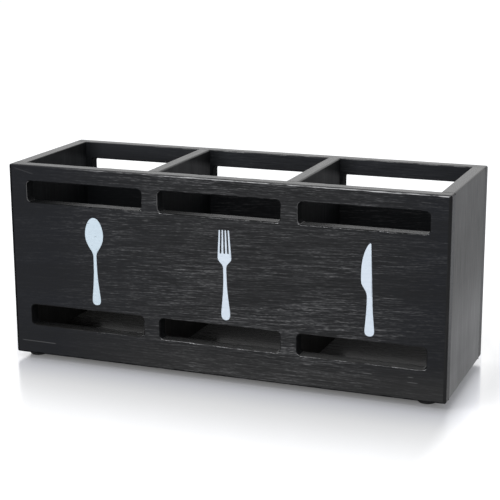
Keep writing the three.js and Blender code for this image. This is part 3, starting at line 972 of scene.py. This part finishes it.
def set_out(name, places, settings):
    """Copies of a piece at those places, as one object."""
    points = bpy.data.meshes.new(name + "_places")
    points.from_pydata([tuple(place) for place in places], [], [])
    start = placed(points.name, points)
    copies = made_by_nodes(start, setting_out, settings, name)
    discard(start)
    return copies


def routed_cutters(name, board_middle_y, drops):
    """Cutters for a board's six slots. The drops lower the upper ones, left to right."""
    places = []
    for column, drop in zip((-1, 0, 1), drops):
        for up in (lower_slot_middle, upper_slot_middle - drop):
            places.append((column * slot_pitch, board_middle_y, up))
    return set_out(name, places, {"Piece": cutter, "Grain depth": 0.08 * MM, "Chip depth": 0.14 * MM})


front_cutters = routed_cutters("front_slots", front_face + board_thickness / 2, (0.0, 0.0, 0.0))
back_cutters = routed_cutters("back_slots", back_face - board_thickness / 2, back_slot_drops)
print("front cutters", len(front_cutters.data.polygons), "faces")

# %% [markdown]
# Now the long boards. The front shows the six slots, the streaky rim and the rubbed arris below it, so it
# gets the closest net, under half a millimetre across the grain. The back is the same board turned round.

# %% Brush and rout the long boards
long_grain = {
    "Fibres per metre": (45.0, 780.0, 780.0),
    "Figure per metre": (8.0, 150.0, 150.0),
    "Furrow depth": 0.12 * MM,
}
end_grain_band = 2.7 * MM
left_corner_band = 2.0 * MM
straight_at = 0.9
half_turned = 0.45
turned_away = 0.25


def finished(piece, nodes, sharp_degrees=42):
    """The closing steps that every piece shares. Smooth shading stops at corners sharper than that."""
    piece.data.shade_smooth()
    piece.data.set_sharp_from_angle(angle=math.radians(sharp_degrees))
    even = piece.modifiers.new("even_normals", "WEIGHTED_NORMAL")
    even.keep_sharp = True
    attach(piece, "root")
    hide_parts(*nodes)
    volume = round(mesh_volume(piece.data) * 1e6, 2)
    print(piece.name, len(piece.data.polygons), "faces, volume", volume, "cm3")


def routed_share(mesh):
    """How much of each face was left by a cutter, from 0 to 1."""
    routed = read_all(mesh.attributes["routed"].data, "value")
    corners = read_all(mesh.loops, "vertex_index", kind=np.int32)
    starts = read_all(mesh.polygons, "loop_start", kind=np.int32)
    sizes = read_all(mesh.polygons, "loop_total", kind=np.int32)
    return np.add.reduceat(routed[corners], starts) / sizes


def paint_by_place(piece, inside_facing, *paints):
    """Gives the inside faces and the cut edges of a board their own paints. inside_facing lists the
    directions in which its inside faces look, as (axis, sign). The paints named are for the inside and, on
    a routed board, for ledges, for end grain and corners with painted shade, and for the painted highlight
    at the mouths of slots."""
    mesh = piece.data
    normals = read_all(mesh.polygons, "normal", 3)
    index = np.zeros(len(normals), np.int32)
    for axis, sign in inside_facing:
        index[normals[:, axis] * sign > straight_at] = 1
    if len(paints) > 1:
        across, _, up = read_all(mesh.polygons, "center", 3).T
        outward = normals[:, 1] * -inside_facing[0][1]
        sideways = np.abs(normals[:, 0])
        routed = routed_share(mesh) > 0.7
        high = up > rim_height / 2
        at_corner = np.abs(across) > half_length - arris_round
        below = (up < wall_bottom + arris_round) & (normals[:, 2] < -0.2)
        index[routed] = 2
        index[routed & ((high & (outward > turned_away)) | (sideways > 0.35))] = 3
        # Bands along the upright corners get the dull dark paint, and the bottom arris too, as painted shade
        index[(across > half_length - end_grain_band) & (outward > straight_at)] = 3
        index[(across < left_corner_band - half_length) & (outward > half_turned)] = 3
        index[at_corner & (outward > half_turned) & (sideways > 0.05)] = 3
        index[below & (outward > 0.05)] = 3
        # Painted highlight along the left ends of the upper slots' mouths
        index[routed & high & (normals[:, 0] > 0.35) & (outward > 0.3)] = 4
    for paint in paints:
        mesh.materials.append(charcoal[paint])
    mesh.polygons.foreach_set("material_index", index)
    print(piece.name, "faces by paint", np.bincount(index).tolist())


def long_board(name, node, blank, cutters, inside_sign):
    parts = {"Board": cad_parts[node], "Cutters": cutters, "Routed": True}
    settings = {**long_grain, **parts, "Chip depth": 0.22 * MM, "Finish": charcoal["long_grain"]}
    piece = made_by_nodes(blank, brushing, settings, name)
    paint_by_place(piece, [(1, inside_sign)], "inside_long", "cut_edges", "end_grain", "worn_mouths")
    finished(piece, [node])


long_board("front_board", "front_panel", front_blank, front_cutters, 1)
back_pitches = (3.0, 0.6, 1.0, 0.7)
back_blank = sawn_blank("back_panel", 0, 1, rim_and_foot, back_pitches, both_ends_x, half_length)
long_board("back_board", "back_panel", back_blank, back_cutters, -1)

# %% [markdown]
# The end boards and the dividers are planed smoother: their grain stands upright and hardly shows. The same
# tree makes them with far shallower furrows, without slots, and their open ends are cut off by the solid.

# %% Plane the end boards, the dividers and the floor board
upright_grain = {
    "Fibres per metre": (500.0, 500.0, 30.0),
    "Figure per metre": (60.0, 60.0, 9.0),
    "Furrow depth": 0.05 * MM,
    "Chip depth": 0.1 * MM,
}
floor_grain = {
    "Fibres per metre": (30.0, 500.0, 500.0),
    "Figure per metre": (7.0, 60.0, 60.0),
    "Furrow depth": 0.02 * MM,
    "Chip depth": 0.15 * MM,
}


def short_board(node, paint, outer_side, rounded, open_sides, inside_facing):
    blank = sawn_blank(node, 1, outer_side, rounded, (2.2, 2.2, 2.2, 0.9), open_sides)
    settings = {**upright_grain, "Board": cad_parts[node], "Finish": charcoal[paint]}
    piece = made_by_nodes(blank, brushing, settings, node.removesuffix("_panel") + "_board")
    paint_by_place(piece, inside_facing, "inside_cross")
    discard(blank)
    finished(piece, [node])


rim_only = {"outer_top": arris_round, "inner_top": arris_round}
divider_open = both_ends_y + ((2, -1),)
to_left = (0, -1)
to_right = (0, 1)
short_board("left_end_panel", "end_boards", -1, rim_and_foot, both_ends_y, [to_right])
short_board("right_end_panel", "end_boards", 1, rim_and_foot, both_ends_y, [to_left])
for divider in ("left_divider", "right_divider"):
    short_board(divider, "dividers", -1, rim_only, divider_open, [to_left, to_right])

floor_blank = sawn_blank("floor_board", 0, -1, {}, (4.0, 1.5, 1.5, 1.1), both_ends_x + both_ends_y)
floor_settings = {**floor_grain, "Board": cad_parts["floor_board"], "Finish": charcoal["floor_board"]}
floor_panel = made_by_nodes(floor_blank, brushing, floor_settings, "compartment_floor")
finished(floor_panel, ["floor_board"])
discard(floor_blank, back_blank)

# %% [markdown]
# Printing ink is a film about a sixth of a millimetre thick that sinks into the furrows below it. The same
# blank that gave the front board is lifted by that much and cut with the drawn outline of each picture, so
# they follow the grain of the very wood that they are printed on.

# %% Print the spoon, the fork and the knife
ink_film = 0.17 * MM

for picture in ("spoon", "fork", "knife"):
    outline = picture + "_print"
    ink_settings = {**long_grain, "Board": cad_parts[outline], "Lift": ink_film, "Finish": ink}
    print_piece = made_by_nodes(front_blank, brushing, ink_settings, "printed_" + picture)
    finished(print_piece, [outline], 60)
discard(front_blank, front_cutters, back_cutters, cutter)

# %% [markdown]
# The box stands on four small rubber bumpers, so air passes under it and it doesn't slide. A bumper has a
# flange that is stuck to the wood, a belly, a rounded tread and a dimple below. It is turned from a profile,
# and the setting-out tree stands one at each corner.

# %% Mould the bumpers


def turned_piece(name, profile_mm, sides, flute_depth=0.0):
    """Turns a profile of (radius, height) round Z. A flute depth presses every other side in."""
    points = []
    for radius, height in profile_mm:
        for side in range(sides):
            angle = 2 * math.pi * side / sides
            out = radius * MM - (flute_depth if side % 2 else 0.0)
            points.append((out * math.cos(angle), out * math.sin(angle), height * MM))
    return closed_object(name, points, tube_faces(len(profile_mm), sides))


def middles_of(nodes):
    return [sum(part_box(node), Vector()) / 2 for node in nodes]


bumper_profile_mm = [
    (0.9, 0.75), (1.7, 0.7), (2.1, 0.45), (2.35, 0.12), (2.7, 0.0), (4.4, 0.0), (5.1, 0.07), (5.75, 0.28),
    (6.22, 0.65), (6.5, 1.2), (6.64, 1.9), (6.62, 2.5), (6.44, 2.8), (6.5, 3.0), (6.66, 3.15),
    (6.67, 3.8), (6.58, 3.97), (5.9, 4.0),
]
bumper = turned_piece("bumper", bumper_profile_mm, 40)
feet = sorted(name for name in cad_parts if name.startswith("foot_"))
feet_places = [(*middle.xy, 0.0) for middle in middles_of(feet)]
bumpers = set_out("rubber_bumpers", feet_places, {"Piece": bumper, "Finish": rubber})
finished(bumpers, feet, 50)
discard(bumper)

# %% [markdown]
# Twenty fluted beech pins hold the joints, out of sight until a board is taken away in another scene. The
# flutes let glue and air escape as the pin is driven home, and the ends are chamfered to find their holes.

# %% Cut the dowel pins
pin_profile_mm = [(1.6, -10.0), (1.95, -9.95), (2.48, -9.4), (2.48, 9.4), (1.95, 9.95), (1.6, 10.0)]
pin = turned_piece("pin", pin_profile_mm, 28, 0.16 * MM)
dowels = sorted(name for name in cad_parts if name.startswith("dowel_"))
pin_settings = {"Piece": pin, "Turn": (math.radians(90), 0.0, 0.0), "Finish": beech}
pins = set_out("dowel_pins", middles_of(dowels), pin_settings)
finished(pins, dowels, 30)
discard(pin)
